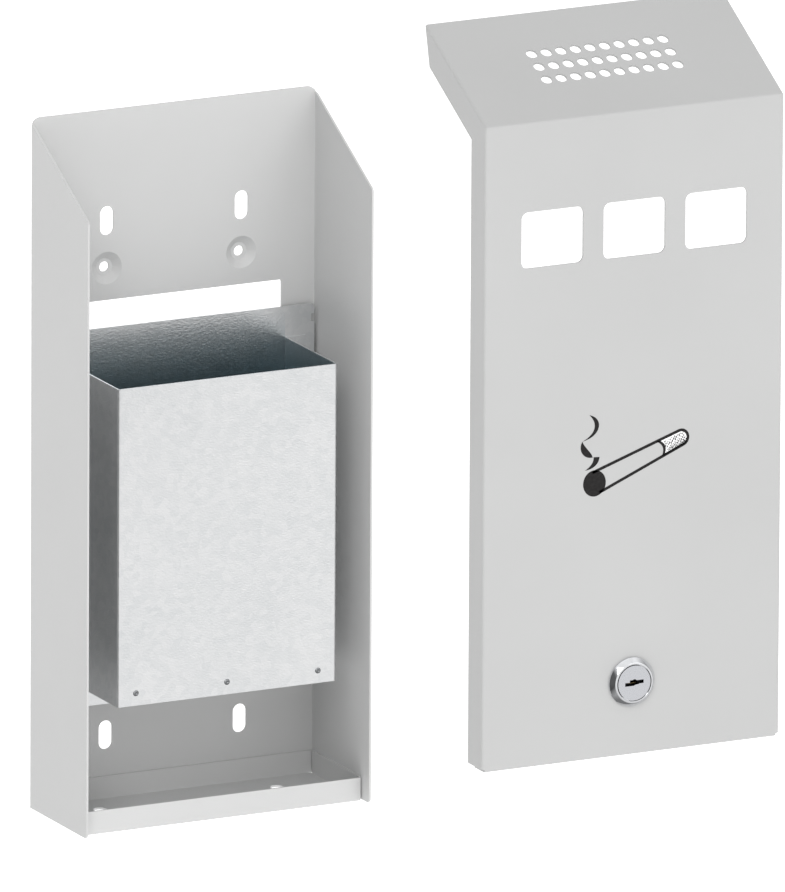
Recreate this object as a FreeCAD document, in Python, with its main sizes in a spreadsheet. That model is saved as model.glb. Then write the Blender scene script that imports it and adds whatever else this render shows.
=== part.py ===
"""Wall-mounted ashtray bin: housing, hung container and a lift-off locking cover.

Every piece is drawn in the closed bin's own coordinates: x runs across, y is minus the
depth in front of the back panel's rear face and z is the height above the housing's
bottom edge. Its Placement then carries it to the row frame, whose origin is the middle
of the two dished wall screws on the wall plane. The cover and its lock are stored in
front of the housing, where the cover slides off to.
"""

import FreeCAD, Part
import math
import os
from types import SimpleNamespace

import Sketcher

os.makedirs("parts", exist_ok=True)

Vector = FreeCAD.Vector

SIZES = {
    # sheet metal
    "sheet_thickness": 1.2,
    "bend_radius": 0.4,
    "tin_thickness": 1.0,
    "tin_bend_radius": 0.5,
    "corner_slit": 1.2,
    "flange_end_gap": 1.0,
    # housing
    "housing_width": 180.0,
    "housing_height": 405.0,
    "housing_depth": 75.0,
    "side_rear_drop": 2.6,
    "side_front_drop": 44.0,
    "panel_corner_radius": 6.0,
    "side_corner_radius": 3.0,
    # wall fixings
    "screw_spacing": 85.0,
    "screw_height": 312.3,
    "screw_hole_radius": 3.0,
    "dish_depth": 3.5,
    "crown_radius": 5.0,
    "dish_mouth_radius": 9.5,
    "wall_slot_spacing": 85.0,
    "wall_slot_radius": 4.25,
    "wall_slot_length": 17.0,
    "wall_slot_height": 37.5,
    "wall_slot_rise": 302.5,
    # rear window and hanging tongue
    "window_width": 136.0,
    "window_bottom": 255.5,
    "window_top": 293.5,
    "window_corner_radius": 1.5,
    "tongue_width": 120.0,
    "tongue_rise": 10.5,
    "hook_gap": 1.5,
    # bottom pan
    "pan_drop": 0.8,
    "pan_flange_height": 13.5,
    "lip_height": 13.0,
    "lip_setback": 9.0,
    "drain_radius": 4.0,
    "drain_spacing": 112.0,
    "drain_depth": 22.5,
    # container
    "plate_clearance": 0.3,
    "plate_side_gap": 1.8,
    "plate_bottom": 57.0,
    "plate_top": 278.5,
    "plate_corner_radius": 3.5,
    "plate_notch_depth": 2.0,
    "plate_notch_length": 4.5,
    "plate_notch_drop": 6.0,
    "container_inset": 18.0,
    "container_flange": 12.0,
    "container_base": 74.0,
    "container_rim": 260.5,
    "container_front_gap": 4.0,
    "tray_flange_height": 15.0,
    "hanger_width": 100.0,
    "hanger_seat_gap": 0.05,
    "hanger_leg_down": 9.0,
    "hanger_leg_up": 10.0,
    "rivet_radius": 1.2,
    "rivet_head_radius": 2.1,
    "rivet_head_height": 0.8,
    "rivet_spacing": 57.5,
    "rivet_height": 81.3,
    # cover
    "cover_gap": 0.8,
    "roof_clearance": 1.2,
    "roof_rear_gap": 0.5,
    "cover_drop": 5.0,
    "cover_flange": 17.5,
    "cover_flange_lean": 5.5,
    "cover_bottom_flange": 13.0,
    "relief_gap": 0.2,
    "slot_width": 38.0,
    "slot_rise": 32.0,
    "slot_corner_radius": 4.0,
    "slot_pitch": 50.5,
    "slot_height": 296.0,
    "vent_radius": 3.25,
    "vent_pitch_across": 9.0,
    "vent_pitch_along": 10.6,
    "cover_forward": 503.9,
    "cover_raise": 170.6,
    # lock
    "lock_height": 37.0,
    "barrel_radius": 9.5,
    "barrel_length": 12.0,
    "bezel_radius": 14.0,
    "bezel_face_radius": 10.8,
    "bezel_rim": 1.2,
    "bezel_proud": 4.0,
    "running_gap": 0.05,
    "plug_radius": 6.0,
    "plug_head_radius": 10.0,
    "plug_head_length": 3.0,
    "tail_width": 7.0,
    "keyway_width": 5.6,
    "keyway_height": 1.8,
    "keyway_step_width": 2.6,
    "keyway_step_height": 0.9,
    "keyway_depth": 13.6,
    "mouth_width": 11.4,
    "mouth_height": 2.0,
    "mouth_step": 1.0,
    "mouth_depth": 2.4,
    "mouth_round_radius": 1.7,
    "wafer_width": 7.0,
    "wafer_below": 4.6,
    "wafer_above": 4.0,
    "wafer_thickness": 1.0,
    "wafer_slot_gap": 0.1,
    "wafer_pitch": 2.0,
    "wafer_window_width": 5.8,
    "wafer_window_height": 2.2,
    "wafer_cut_step": 0.3,
    "spring_radius": 0.5,
    "spring_length": 1.9,
    "hole_gap": 0.1,
    "lock_washer_radius": 13.0,
    "lock_washer_thickness": 0.8,
    "nut_across_flats": 24.0,
    "nut_thickness": 6.0,
    "stop_washer_radius": 8.0,
    "stop_washer_thickness": 0.6,
    "cam_thickness": 2.3,
    "cam_half_width": 7.0,
    "cam_reach": 29.0,
    "cam_washer_radius": 6.0,
    "cam_washer_thickness": 0.8,
    "screw_shank_radius": 2.0,
    "screw_shank_length": 4.4,
    "screw_head_radius": 4.2,
    "screw_head_length": 3.2,
    "screw_socket_width": 3.0,
    "screw_socket_depth": 1.8,
}
WAFER_COUNT = 5
VENT_COLUMNS = 10
VENT_ROWS = 3
ALONG_X = Vector(1, 0, 0)
ALONG_Y = Vector(0, 1, 0)
ALONG_Z = Vector(0, 0, 1)
NEAR = 0.01


class Size:
    """A length that carries its value in millimetres and its formula in the sheet."""

    def __init__(self, value, formula):
        self.value = value
        self.formula = formula

    def __add__(self, other):
        other = as_size(other)
        return Size(self.value + other.value, f"({self.formula} + {other.formula})")

    def __sub__(self, other):
        other = as_size(other)
        return Size(self.value - other.value, f"({self.formula} - {other.formula})")

    def __rsub__(self, other):
        return as_size(other) - self

    def __mul__(self, other):
        other = as_size(other)
        return Size(self.value * other.value, f"({self.formula} * {other.formula})")

    def __truediv__(self, other):
        other = as_size(other)
        return Size(self.value / other.value, f"({self.formula} / {other.formula})")

    def __neg__(self):
        return Size(-self.value, f"(0 - {self.formula})")

    __radd__ = __add__
    __rmul__ = __mul__


def as_size(number):
    """Return the number itself if it is a Size, or a Size with no link to the sheet."""
    if isinstance(number, Size):
        return number
    return Size(float(number), repr(float(number)))


def square_root(size):
    return Size(math.sqrt(size.value), f"sqrt({size.formula})")


def slope_angle(size):
    return Size(math.degrees(math.atan(size.value)), f"atan({size.formula})")


document = FreeCAD.newDocument("ashtray_bin")
sheet = document.addObject("Spreadsheet::Sheet", "Sizes")
for row, (alias, value) in enumerate(SIZES.items(), start=1):
    sheet.set(f"A{row}", alias)
    sheet.set(f"B{row}", str(value))
    sheet.setAlias(f"B{row}", alias)
document.recompute()
size = SimpleNamespace(**{name: Size(value, f"Sizes.{name}") for name, value in SIZES.items()})


# ---------------------------------------------------------------- shared places

panel_front = size.sheet_thickness
inner_half_width = size.housing_width / 2 - size.sheet_thickness
side_rear_height = size.housing_height - size.side_rear_drop
roof_slope = (size.side_front_drop - size.side_rear_drop) / size.housing_depth
slope_stretch = square_root(roof_slope * roof_slope + 1)

tongue_rear = panel_front + size.hook_gap
tongue_front = tongue_rear + size.sheet_thickness
tongue_top = size.window_bottom + size.tongue_rise
plate_rear = tongue_front + size.plate_clearance
plate_front = plate_rear + size.tin_thickness
plate_half_width = inner_half_width - size.plate_side_gap

cover_inner = size.housing_depth + size.cover_gap
cover_front = cover_inner + size.sheet_thickness
cover_inner_half = size.housing_width / 2 + size.cover_gap
cover_half = cover_inner_half + size.sheet_thickness
cover_bend = size.sheet_thickness + size.bend_radius
cover_side_drop = size.cover_drop - cover_bend - size.relief_gap
roof_rear = panel_front + size.roof_rear_gap
container_front = cover_inner - size.container_front_gap
container_half = plate_half_width - size.container_inset

barrel_rear = cover_front - size.barrel_length
bezel_face = cover_front + size.bezel_proud
head_rear = bezel_face - size.plug_head_length
stop_washer_front = barrel_rear - size.running_gap
cam_front = stop_washer_front - size.stop_washer_thickness
cam_rear = cam_front - size.cam_thickness
tail_rear = cam_rear + size.running_gap
cam_washer_rear = cam_rear - size.cam_washer_thickness
bolt_radius = size.screw_shank_radius


def side_height(depth):
    """Height of the side panels' sloping top edge at a depth."""
    return side_rear_height - roof_slope * depth


def roof_height(depth, below=0):
    """Height at a depth of the cover's roof, or of a surface parallel below it."""
    lift = size.roof_clearance + size.sheet_thickness - below
    return side_height(depth) + lift * slope_stretch


# ---------------------------------------------------------------- drawing helpers


def bind(item, path, length):
    """Tie one property of an object to its formula in the sheet."""
    item.setExpression(path, as_size(length).formula)


def new_body(label):
    body = document.addObject("PartDesign::Body", label)
    body.Label = label
    return body


def new_sketch(body, name, role, offset=0):
    """Attach a sketch to one of the body's own planes, shifted along its normal."""
    plane = next(item for item in body.Origin.OriginFeatures if item.Role == role)
    sketch = body.newObject("Sketcher::SketchObject", name)
    sketch.AttachmentSupport = [(plane, "")]
    sketch.MapMode = "FlatFace"
    bind(sketch, "AttachmentOffset.Base.z", offset)
    return sketch


def hold(sketch, kind, geometry, point, length):
    """Hold one coordinate of a point at a distance from the sketch's origin."""
    length = as_size(length)
    rule = Sketcher.Constraint(kind, -1, 1, geometry, point, length.value)
    number = sketch.addConstraint(rule)
    sketch.setExpression(f"Constraints[{number}]", length.formula)


def flat_point(point):
    return Vector(as_size(point[0]).value, as_size(point[1]).value, 0)


def draw_outline(sketch, points, arcs=None):
    """Draw one closed outline.

    points: (across, up) pairs. arcs: {index of an arc's first point: (centre, turn)},
    where turn is 1 for a counter-clockwise arc and -1 for a clockwise one.
    """
    arcs = arcs or {}
    corners = [flat_point(point) for point in points]
    pieces = []
    for index, start in enumerate(corners):
        end = corners[(index + 1) % len(corners)]
        order = (1, 2)
        shape = None
        if index in arcs:
            centre, turn = arcs[index]
            middle = flat_point(centre)
            first, last = (start, end) if turn > 0 else (end, start)
            order = (1, 2) if turn > 0 else (2, 1)
            circle = Part.Circle(middle, ALONG_Z, (start - middle).Length)
            begin = math.atan2(first.y - middle.y, first.x - middle.x)
            finish = math.atan2(last.y - middle.y, last.x - middle.x)
            shape = Part.ArcOfCircle(circle, begin, finish)
        else:
            shape = Part.LineSegment(start, end)
        pieces.append((sketch.addGeometry(shape, False), order))
    for index, (across, up) in enumerate(points):
        number, order = pieces[index]
        previous, previous_order = pieces[index - 1]
        join = Sketcher.Constraint("Coincident", previous, previous_order[1], number, order[0])
        sketch.addConstraint(join)
        hold(sketch, "DistanceX", number, order[0], across)
        hold(sketch, "DistanceY", number, order[0], up)
    for index, (centre, turn) in arcs.items():
        chord = corners[(index + 1) % len(corners)] - corners[index]
        upright = abs(chord.x) < NEAR
        kind, middle = ("DistanceX", centre[0]) if upright else ("DistanceY", centre[1])
        hold(sketch, kind, pieces[index][0], 3, middle)


def draw_rectangle(sketch, left, right, bottom, top):
    draw_outline(sketch, [(left, bottom), (right, bottom), (right, top), (left, top)])


def draw_rounded_rectangle(sketch, left, right, bottom, top, radius):
    points = [
        (left + radius, bottom),
        (right - radius, bottom),
        (right, bottom + radius),
        (right, top - radius),
        (right - radius, top),
        (left + radius, top),
        (left, top - radius),
        (left, bottom + radius),
    ]
    arcs = {
        1: ((right - radius, bottom + radius), 1),
        3: ((right - radius, top - radius), 1),
        5: ((left + radius, top - radius), 1),
        7: ((left + radius, bottom + radius), 1),
    }
    draw_outline(sketch, points, arcs)


def draw_upright_slot(sketch, across, up, radius, length):
    reach = length / 2 - radius
    points = [
        (across + radius, up - reach),
        (across + radius, up + reach),
        (across - radius, up + reach),
        (across - radius, up - reach),
    ]
    arcs = {1: ((across, up + reach), 1), 3: ((across, up - reach), 1)}
    draw_outline(sketch, points, arcs)


def draw_circle(sketch, across, up, radius):
    radius = as_size(radius)
    circle = Part.Circle(flat_point((across, up)), ALONG_Z, radius.value)
    number = sketch.addGeometry(circle, False)
    hold(sketch, "DistanceX", number, 3, across)
    hold(sketch, "DistanceY", number, 3, up)
    rule = sketch.addConstraint(Sketcher.Constraint("Radius", number, radius.value))
    sketch.setExpression(f"Constraints[{rule}]", radius.formula)


def pad(body, name, sketch, length, symmetric=False, backward=False):
    """Pad a sketch along its plane's normal, against it, or to both sides alike."""
    feature = body.newObject("PartDesign::Pad", name)
    feature.Profile = sketch
    feature.SideType = "Symmetric" if symmetric else "One side"
    feature.Reversed = backward
    bind(feature, "Length", length)
    document.recompute()
    return feature


def cut(body, name, sketch, length):
    """Cut a sketch to both sides of its plane, and refuse a cut that misses the solid."""
    before = body.Tip.Shape.Volume
    feature = body.newObject("PartDesign::Pocket", name)
    feature.Profile = sketch
    feature.SideType = "Symmetric"
    bind(feature, "Length", length)
    document.recompute()
    if not feature.Shape.Volume < before:
        raise RuntimeError(f"{body.Label}: {name} cut nothing")
    return feature


def turn(body, name, profile):
    """Turn a closed profile of (depth, radius) points about the lock's axis."""
    sketch = new_sketch(body, f"{name}_profile", "YZ_Plane")
    bind(sketch, "AttachmentOffset.Base.y", size.lock_height)
    draw_outline(sketch, [(-as_size(depth), radius) for depth, radius in profile])
    feature = body.newObject("PartDesign::Revolution", name)
    feature.Profile = sketch
    feature.ReferenceAxis = (sketch, ["H_Axis"])
    feature.Angle = 360
    document.recompute()
    return feature


def round_edges(body, name, radius, lines):
    """Round the straight edges that lie on the lines, given as (direction, place) pairs."""
    base = body.Tip
    chosen = []
    for number, edge in enumerate(base.Shape.Edges, start=1):
        if edge.Degenerated or edge.Curve.TypeId != "Part::GeomLine":
            continue
        if any(lies_on(edge, Vector(direction), place) for direction, place in lines):
            chosen.append(f"Edge{number}")
    if len(chosen) < len(lines):
        raise RuntimeError(f"{body.Label}: {name} found {len(chosen)} edges")
    feature = body.newObject("PartDesign::Fillet", name)
    feature.Base = (base, chosen)
    bind(feature, "Radius", radius)
    document.recompute()
    if feature.Shape.isNull() or not feature.isValid():
        raise RuntimeError(f"{body.Label}: {name} can't be rounded")
    return feature


def lies_on(edge, along, place):
    """Tell whether a straight edge lies on the line through a place."""
    along.normalize()
    start = edge.Vertexes[0].Point
    run = edge.Vertexes[-1].Point - start
    offset = Vector(*(as_size(number).value for number in place)) - start
    return run.cross(along).Length < NEAR and (offset - along * offset.dot(along)).Length < NEAR


def place(item, on_cover=False):
    """Carry a piece from the closed bin's coordinates to its stored place."""
    forward = size.dish_depth
    rise = -size.screw_height
    if on_cover:
        forward = forward + size.cover_forward
        rise = rise + size.cover_raise
    bind(item, "Placement.Base.y", -forward)
    bind(item, "Placement.Base.z", rise)
    return item


# ---------------------------------------------------------------- housing


def build_back_housing():
    """One folded sheet: the back panel and the two side panels."""
    thickness = size.sheet_thickness
    half = size.housing_width / 2
    depth = size.housing_depth
    body = new_body("back_housing")

    fold = new_sketch(body, "housing_fold", "XY_Plane")
    outline = [
        (-half, 0),
        (-half, -depth),
        (-inner_half_width, -depth),
        (-inner_half_width, -thickness),
        (inner_half_width, -thickness),
        (inner_half_width, -depth),
        (half, -depth),
        (half, 0),
    ]
    draw_outline(fold, outline)
    pad(body, "folded_sheet", fold, size.housing_height)
    rear_corners = [(ALONG_Z, (side * half, 0, 0)) for side in (-1, 1)]
    inner_corners = [(ALONG_Z, (side * inner_half_width, -thickness, 0)) for side in (-1, 1)]
    round_edges(body, "rear_bends", thickness + size.bend_radius, rear_corners)
    round_edges(body, "inner_bends", size.bend_radius, inner_corners)

    spare = 5.0
    beyond = depth + spare
    above = size.housing_height + spare
    slope = new_sketch(body, "side_slope_outline", "YZ_Plane")
    triangle = [
        (-thickness, side_height(thickness)),
        (-thickness, above),
        (-beyond, above),
        (-beyond, side_height(beyond)),
    ]
    draw_outline(slope, triangle)
    cut(body, "side_slope", slope, size.housing_width * 2)
    tips = [(0, -depth, side_height(depth)), (0, -depth, 0)]
    for name, tip in zip(("upper_tips", "lower_tips"), tips):
        round_edges(body, name, size.side_corner_radius, [(ALONG_X, tip)])

    radius = size.panel_corner_radius
    corners = new_sketch(body, "panel_corner_outline", "XZ_Plane")
    for side in (-1, 1):
        draw_panel_corner(corners, side, half, radius, spare)
    cut(body, "panel_corners", corners, thickness * 4)

    add_dishes(body)
    slots = new_sketch(body, "wall_slot_outline", "XZ_Plane")
    for side in (-1, 1):
        for rise in (0, size.wall_slot_rise):
            across = side * size.wall_slot_spacing / 2
            up = size.wall_slot_height + rise
            draw_upright_slot(slots, across, up, size.wall_slot_radius, size.wall_slot_length)
    cut(body, "wall_slots", slots, thickness * 4)

    reach = size.window_width / 2
    window = new_sketch(body, "window_outline", "XZ_Plane")
    draw_rounded_rectangle(
        window, -reach, reach, size.window_bottom, size.window_top, size.window_corner_radius
    )
    cut(body, "rear_window", window, thickness * 4)
    add_tongue(body)
    return place(body)


def draw_panel_corner(sketch, side, half, radius, spare):
    """Outline what the back panel's rounded upper corner leaves off."""
    top = size.housing_height
    points = [
        (side * half, top - radius),
        (side * (half + spare), top - radius),
        (side * (half + spare), top + spare),
        (side * (half - radius), top + spare),
        (side * (half - radius), top),
    ]
    centre = (side * (half - radius), top - radius)
    draw_outline(sketch, points, {4: (centre, -side)})


def add_dishes(body):
    """Press the two screw dishes backward to the wall plane and pierce their crowns."""
    thickness = size.sheet_thickness
    for side, hand in ((-1, "left"), (1, "right")):
        across = side * size.screw_spacing / 2
        for kind, rear in (("Additive", -size.dish_depth), ("Subtractive", thickness - size.dish_depth)):
            add_cone(body, f"{hand}_dish_{kind.lower()}", kind, across, rear)
    holes = new_sketch(body, "screw_hole_outline", "XZ_Plane")
    for side in (-1, 1):
        draw_circle(holes, side * size.screw_spacing / 2, size.screw_height, size.screw_hole_radius)
    cut(body, "screw_holes", holes, size.dish_depth * 4)


def add_cone(body, name, kind, across, rear):
    """Add or cut a cone that widens forward from the crown to the dish's mouth."""
    plane = next(item for item in body.Origin.OriginFeatures if item.Role == "XZ_Plane")
    cone = body.newObject(f"PartDesign::{kind}Cone", name)
    cone.AttachmentSupport = [(plane, "")]
    cone.MapMode = "FlatFace"
    bind(cone, "AttachmentOffset.Base.x", across)
    bind(cone, "AttachmentOffset.Base.y", size.screw_height)
    bind(cone, "AttachmentOffset.Base.z", rear)
    bind(cone, "Radius1", size.crown_radius)
    bind(cone, "Radius2", size.dish_mouth_radius)
    bind(cone, "Height", size.dish_depth)
    document.recompute()


def add_tongue(body):
    """The tongue stands in front of the window and carries the container."""
    web_bottom = size.window_bottom - size.sheet_thickness
    tongue = new_sketch(body, "tongue_outline", "YZ_Plane")
    points = [
        (-panel_front / 2, web_bottom),
        (-tongue_front, web_bottom),
        (-tongue_front, tongue_top),
        (-tongue_rear, tongue_top),
        (-tongue_rear, size.window_bottom),
        (-panel_front / 2, size.window_bottom),
    ]
    draw_outline(tongue, points)
    pad(body, "hanging_tongue", tongue, size.tongue_width, symmetric=True)


def fold_tray(body, half, rear, front, bottom, top, thickness, bend):
    """Fold a tray with four upright flanges and open corner slits."""
    block = new_sketch(body, "tray_outline", "XY_Plane", bottom)
    draw_rectangle(block, -half, half, -front, -rear)
    pad(body, "tray_block", block, top - bottom)
    inside = new_sketch(body, "tray_inside_outline", "XY_Plane", top)
    draw_rectangle(inside, thickness - half, half - thickness, thickness - front, -rear - thickness)
    cut(body, "tray_inside", inside, (top - bottom - thickness) * 2)
    floor = bottom + thickness
    outer_bends = [(ALONG_X, (0, -rear, bottom)), (ALONG_X, (0, -front, bottom))]
    inner_bends = [
        (ALONG_X, (0, -rear - thickness, floor)),
        (ALONG_X, (0, thickness - front, floor)),
    ]
    for side in (-1, 1):
        outer_bends.append((ALONG_Y, (side * half, 0, bottom)))
        inner_bends.append((ALONG_Y, (side * (half - thickness), 0, floor)))
    round_edges(body, "outer_bends", thickness + bend, outer_bends)
    round_edges(body, "inner_bends", bend, inner_bends)
    slits = new_sketch(body, "corner_slit_outline", "XY_Plane", bottom)
    for side in (-1, 1):
        draw_corner_slit(slits, side, half, -front, 1, thickness)
        draw_corner_slit(slits, side, half, -rear, -1, thickness)
    cut(body, "corner_slits", slits, (top - bottom) * 4)


def draw_corner_slit(sketch, side, half, face, inward, thickness):
    """Part a front or rear flange from the side flange beside it.

    face: where the front or rear flange's outer face lies. inward: 1 or -1, the way in.
    """
    spare = 3.0
    flange_end = side * (half - size.flange_end_gap)
    slit_end = side * (half - thickness - size.corner_slit)
    outside = side * (half + spare)
    flange_inner = face + inward * thickness
    slit_inner = flange_inner + inward * size.corner_slit
    points = [
        (slit_end, slit_inner),
        (outside, slit_inner),
        (outside, face - inward * spare),
        (flange_end, face - inward * spare),
        (flange_end, flange_inner),
        (slit_end, flange_inner),
    ]
    draw_outline(sketch, points)


def build_bottom_pan():
    """The folded floor between the side panels, with the lip that the cam locks behind."""
    body = new_body("bottom_pan")
    lip_front = size.housing_depth - size.lip_setback
    thickness = size.sheet_thickness
    top = size.pan_flange_height
    fold_tray(
        body, inner_half_width, panel_front, lip_front, -size.pan_drop, top, thickness,
        size.bend_radius,
    )
    lip = new_sketch(body, "lip_trim_outline", "XY_Plane", top)
    draw_rectangle(
        lip, -inner_half_width, inner_half_width, -lip_front, thickness - lip_front
    )
    cut(body, "lip_trim", lip, (top - size.lip_height) * 2)
    drains = new_sketch(body, "drain_outline", "XY_Plane", 0)
    for side in (-1, 1):
        draw_circle(drains, side * size.drain_spacing / 2, -size.drain_depth, size.drain_radius)
    cut(body, "drains", drains, thickness * 4)
    return place(body)


# ---------------------------------------------------------------- container


def build_container_body():
    """The container's front and sides in one folded sheet, with flanges on the plate."""
    thickness = size.tin_thickness
    half = container_half
    inner = half - thickness
    end = half + size.container_flange
    flange_front = plate_front + thickness
    wall = container_front - thickness
    body = new_body("container_body")
    fold = new_sketch(body, "container_fold", "XY_Plane", size.container_base)
    outline = [
        (-end, -plate_front),
        (-end, -flange_front),
        (-half, -flange_front),
        (-half, -container_front),
        (half, -container_front),
        (half, -flange_front),
        (end, -flange_front),
        (end, -plate_front),
        (inner, -plate_front),
        (inner, -wall),
        (-inner, -wall),
        (-inner, -plate_front),
    ]
    draw_outline(fold, outline)
    pad(body, "container_sheet", fold, size.container_rim - size.container_base)
    outer = thickness + size.tin_bend_radius
    convex = []
    concave = []
    for side in (-1, 1):
        convex.append((ALONG_Z, (side * half, -container_front, 0)))
        convex.append((ALONG_Z, (side * inner, -plate_front, 0)))
        concave.append((ALONG_Z, (side * inner, -wall, 0)))
        concave.append((ALONG_Z, (side * half, -flange_front, 0)))
    round_edges(body, "outer_bends", outer, convex)
    round_edges(body, "inner_bends", size.tin_bend_radius, concave)
    rivet_holes = new_sketch(body, "rivet_hole_outline", "XZ_Plane", container_front)
    draw_rivet_circles(rivet_holes)
    cut(body, "rivet_holes", rivet_holes, thickness * 6)
    return place(body)


def draw_rivet_circles(sketch):
    for step in (-1, 0, 1):
        draw_circle(sketch, step * size.rivet_spacing, size.rivet_height, size.rivet_radius)


def build_container_back_plate():
    """The flat plate that closes the container and carries its hanger."""
    half = plate_half_width
    top = size.plate_top
    body = new_body("container_back_plate")
    outline = new_sketch(body, "plate_outline", "XZ_Plane", plate_rear)
    draw_rounded_rectangle(outline, -half, half, size.plate_bottom, top, size.plate_corner_radius)
    pad(body, "plate", outline, size.tin_thickness)
    notches = new_sketch(body, "notch_outline", "XZ_Plane", plate_rear)
    high = top - size.plate_notch_drop
    low = high - size.plate_notch_length
    for side in (-1, 1):
        inner = side * (half - size.plate_notch_depth)
        outer = side * (half + size.plate_notch_depth)
        draw_rectangle(notches, inner, outer, low, high)
    cut(body, "edge_notches", notches, size.tin_thickness * 4)
    return place(body)


def build_container_bottom():
    """The container's floor, a folded tray riveted through its front flange."""
    body = new_body("container_bottom")
    inner = container_half - size.tin_thickness
    wall = container_front - size.tin_thickness
    base = size.container_base
    fold_tray(
        body, inner, plate_front, wall, base, base + size.tray_flange_height,
        size.tin_thickness, size.tin_bend_radius,
    )
    rivet_holes = new_sketch(body, "rivet_hole_outline", "XZ_Plane", wall)
    draw_rivet_circles(rivet_holes)
    cut(body, "rivet_holes", rivet_holes, size.tin_thickness * 4)
    return place(body)


def build_container_hanger():
    """A Z-shaped strip on the plate's rear that hooks over the housing's tongue."""
    thickness = size.tin_thickness
    hook_rear = panel_front + (size.hook_gap - thickness) / 2
    seat = tongue_top + size.hanger_seat_gap
    body = new_body("container_hanger")
    strip = new_sketch(body, "hanger_outline", "YZ_Plane")
    points = [
        (-plate_rear, seat),
        (-plate_rear, seat + size.hanger_leg_up),
        (thickness - plate_rear, seat + size.hanger_leg_up),
        (thickness - plate_rear, seat + thickness),
        (-hook_rear, seat + thickness),
        (-hook_rear, seat - size.hanger_leg_down),
        (-hook_rear - thickness, seat - size.hanger_leg_down),
        (-hook_rear - thickness, seat),
    ]
    draw_outline(strip, points)
    pad(body, "hanger_strip", strip, size.hanger_width, symmetric=True)
    return place(body)


def build_container_rivets():
    """Three blind rivets that hold the container's floor to its front."""
    grip_rear = container_front - size.tin_thickness * 2
    head = size.rivet_head_height
    rivets = []
    for number, step in enumerate((-1, 0, 1), start=1):
        across = step * size.rivet_spacing
        sections = {
            "shank": (size.rivet_radius, grip_rear, size.tin_thickness * 2),
            "head": (size.rivet_head_radius, container_front, head),
            "bulb": (size.rivet_head_radius, grip_rear - head, head),
        }
        pieces = []
        for part_name, (radius, rear, length) in sections.items():
            piece = document.addObject("Part::Cylinder", f"rivet_{number}_{part_name}")
            piece.Placement = FreeCAD.Placement(Vector(), FreeCAD.Rotation(ALONG_X, 90))
            bind(piece, "Placement.Base.x", across)
            bind(piece, "Placement.Base.y", -rear)
            bind(piece, "Placement.Base.z", size.rivet_height)
            bind(piece, "Radius", radius)
            bind(piece, "Height", length)
            pieces.append(piece)
        rivet = document.addObject("Part::MultiFuse", f"rivet_{number}")
        rivet.Shapes = pieces
        rivets.append(rivet)
    group = document.addObject("Part::Compound", "container_bottom_rivets")
    group.Label = "container_bottom_rivets"
    group.Links = rivets
    return place(group)


# ---------------------------------------------------------------- cover


def build_front_cover():
    """The front and sloping roof in one sheet, with flanges outside the housing."""
    thickness = size.sheet_thickness
    body = new_body("front_cover")
    fold = new_sketch(body, "cover_fold", "YZ_Plane")
    flange_end = cover_front - size.cover_bottom_flange
    floor = thickness - size.cover_drop
    profile = [
        (-flange_end, -size.cover_drop),
        (-cover_front, -size.cover_drop),
        (-cover_front, roof_height(cover_front)),
        (-roof_rear, roof_height(roof_rear)),
        (-roof_rear, roof_height(roof_rear, thickness)),
        (-cover_inner, roof_height(cover_inner, thickness)),
        (-cover_inner, floor),
        (-flange_end, floor),
    ]
    draw_outline(fold, profile)
    pad(body, "cover_sheet", fold, cover_half * 2, symmetric=True)
    for side, hand in ((-1, "left"), (1, "right")):
        add_cover_flange(body, side, hand)

    reliefs = new_sketch(body, "bend_relief_outline", "XZ_Plane")
    spare = 4.0
    for side in (-1, 1):
        inner = side * (cover_half - cover_bend - size.relief_gap * 2)
        draw_rectangle(
            reliefs, inner, side * (cover_half + spare), -size.cover_drop - spare,
            -cover_side_drop,
        )
    cut(body, "bend_reliefs", reliefs, cover_front * 4)
    round_cover_bends(body, floor)
    cut_cover_openings(body)
    return place(body, on_cover=True)


def add_cover_flange(body, side, hand):
    """One side flange, along the front and the roof, with a leaning rear end."""
    lean_end = roof_rear + size.cover_flange_lean
    inner = cover_front - size.cover_flange
    start = cover_inner_half if side > 0 else -cover_half
    flange = new_sketch(body, f"{hand}_flange_outline", "YZ_Plane", start)
    points = [
        (-cover_front, -cover_side_drop),
        (-cover_front, roof_height(cover_front)),
        (-roof_rear, roof_height(roof_rear)),
        (-lean_end, roof_height(lean_end, size.cover_flange)),
        (-inner, roof_height(inner, size.cover_flange)),
        (-inner, -cover_side_drop),
    ]
    draw_outline(flange, points)
    pad(body, f"{hand}_flange", flange, size.sheet_thickness)


def round_cover_bends(body, floor):
    """Round the cover's folds outside and inside."""
    thickness = size.sheet_thickness
    up_the_roof = Vector(0, 1, roof_slope.value)
    fold = roof_height(cover_front)
    inner_fold = roof_height(cover_inner, thickness)
    outer_bends = [
        (ALONG_X, (0, -cover_front, fold)),
        (ALONG_X, (0, -cover_front, -size.cover_drop)),
    ]
    inner_bends = [
        (ALONG_X, (0, -cover_inner, inner_fold)),
        (ALONG_X, (0, -cover_inner, floor)),
    ]
    for side in (-1, 1):
        outer_bends.append((ALONG_Z, (side * cover_half, -cover_front, 0)))
        outer_bends.append((up_the_roof, (side * cover_half, -cover_front, fold)))
        inner_bends.append((ALONG_Z, (side * cover_inner_half, -cover_inner, 0)))
        inner_bends.append((up_the_roof, (side * cover_inner_half, -cover_inner, inner_fold)))
    round_edges(body, "outer_bends", cover_bend, outer_bends)
    round_edges(body, "inner_bends", size.bend_radius, inner_bends)


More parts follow.
